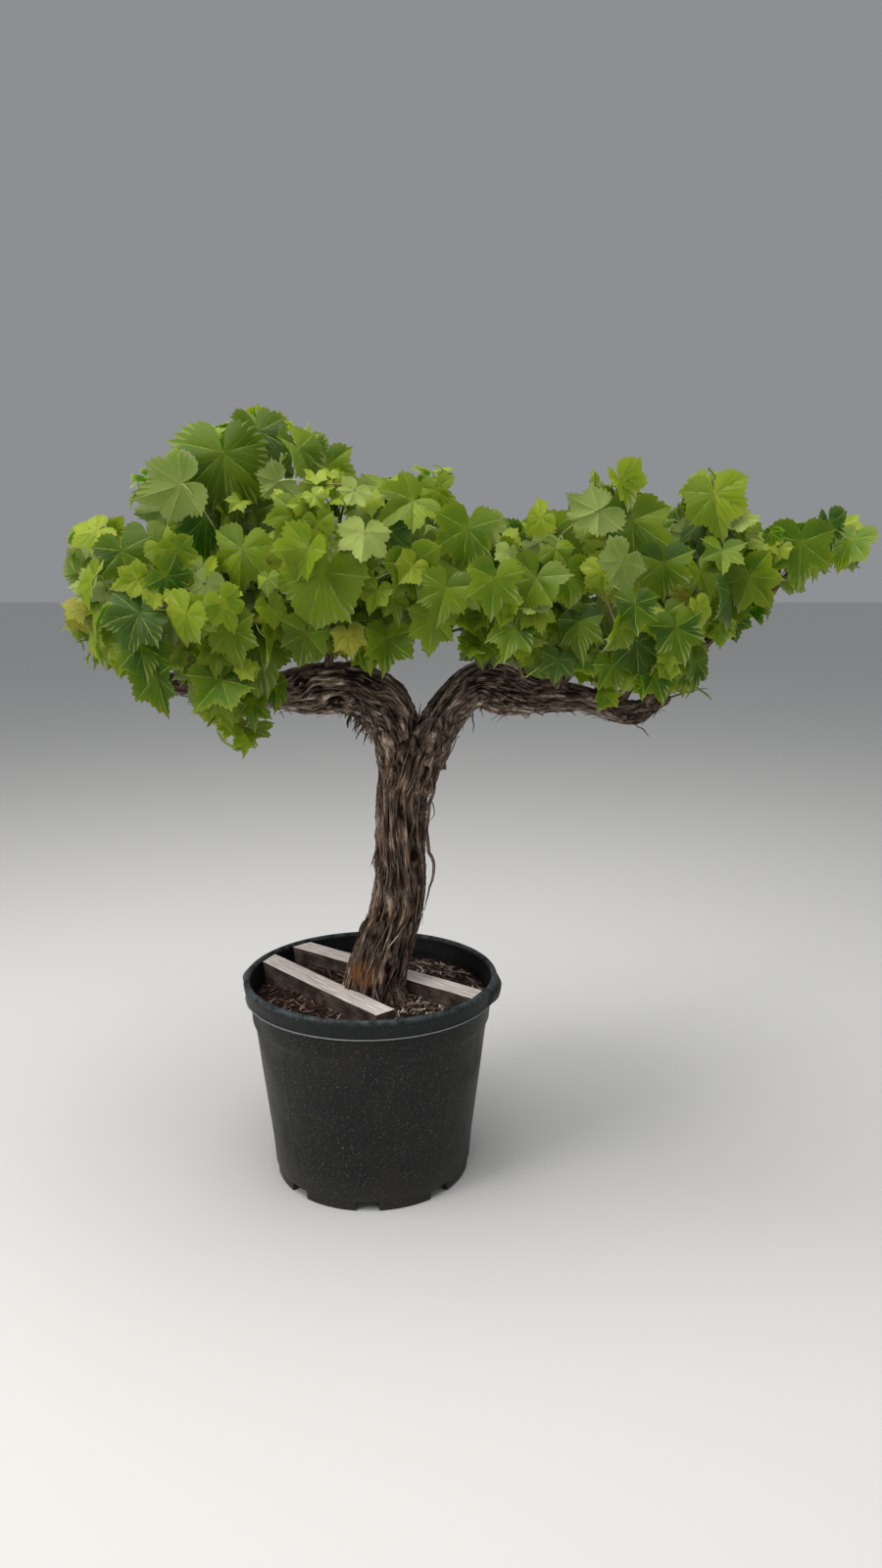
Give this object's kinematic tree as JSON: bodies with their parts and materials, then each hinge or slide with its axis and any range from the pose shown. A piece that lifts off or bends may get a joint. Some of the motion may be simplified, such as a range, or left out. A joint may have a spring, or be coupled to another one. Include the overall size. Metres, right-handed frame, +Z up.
{
  "type": "potted grapevine",
  "caption": "Old grapevine in a round plastic container: a leaning trunk with shaggy bark forks into level arms under a long, low crown of broad lobed leaves.",
  "frame": {"origin": "centre of the container's flat underside, on the surface that the plant stands on", "axes": "+Z up, the arms run along X with the longer end of the crown towards +X, the front of the plant faces -Y"},
  "size_m": [1.7925, 0.7614, 1.7902],
  "materials": {
    "container": "charcoal black injection-moulded plastic, satin, dusty and a little worn on the rim",
    "soil": "loose dark red-brown shredded bark mulch",
    "batten": "weathered sawn softwood, pale grey above and dark brown at the sides",
    "bark": "grey-brown stringy bark that peels in long strips",
    "foliage": "fresh green leaf, softly shining, with pale veins"
  },
  "bodies": {
    "root": {"pot": "container", "soil": "soil", "batten_front": "batten", "batten_back": "batten", "trunk": "bark", "left_neck": "bark", "left_arm": "bark", "right_neck": "bark", "right_arm": "bark", "right_arm_end": "bark", "bough_left_top": "bark", "bough_left_front": "bark", "bough_left_back": "bark", "bough_left_low": "bark", "bough_middle_left": "bark", "bough_middle_back": "bark", "bough_middle_right": "bark", "bough_right_middle": "bark", "bough_right_front": "bark", "bough_right_back": "bark", "bough_right_low": "bark", "bough_far_right_top": "bark", "bough_far_right": "bark", "leaves_far_left": "foliage", "leaves_left_top": "foliage", "leaves_left_front": "foliage", "leaves_left_back": "foliage", "leaves_left_low": "foliage", "leaves_middle_left": "foliage", "leaves_middle_back": "foliage", "leaves_middle_right": "foliage", "leaves_right_middle": "foliage", "leaves_right_front": "foliage", "leaves_right_back": "foliage", "leaves_right_low": "foliage", "leaves_far_right_top": "foliage", "leaves_far_right": "foliage"}
  },
  "joints": []
}
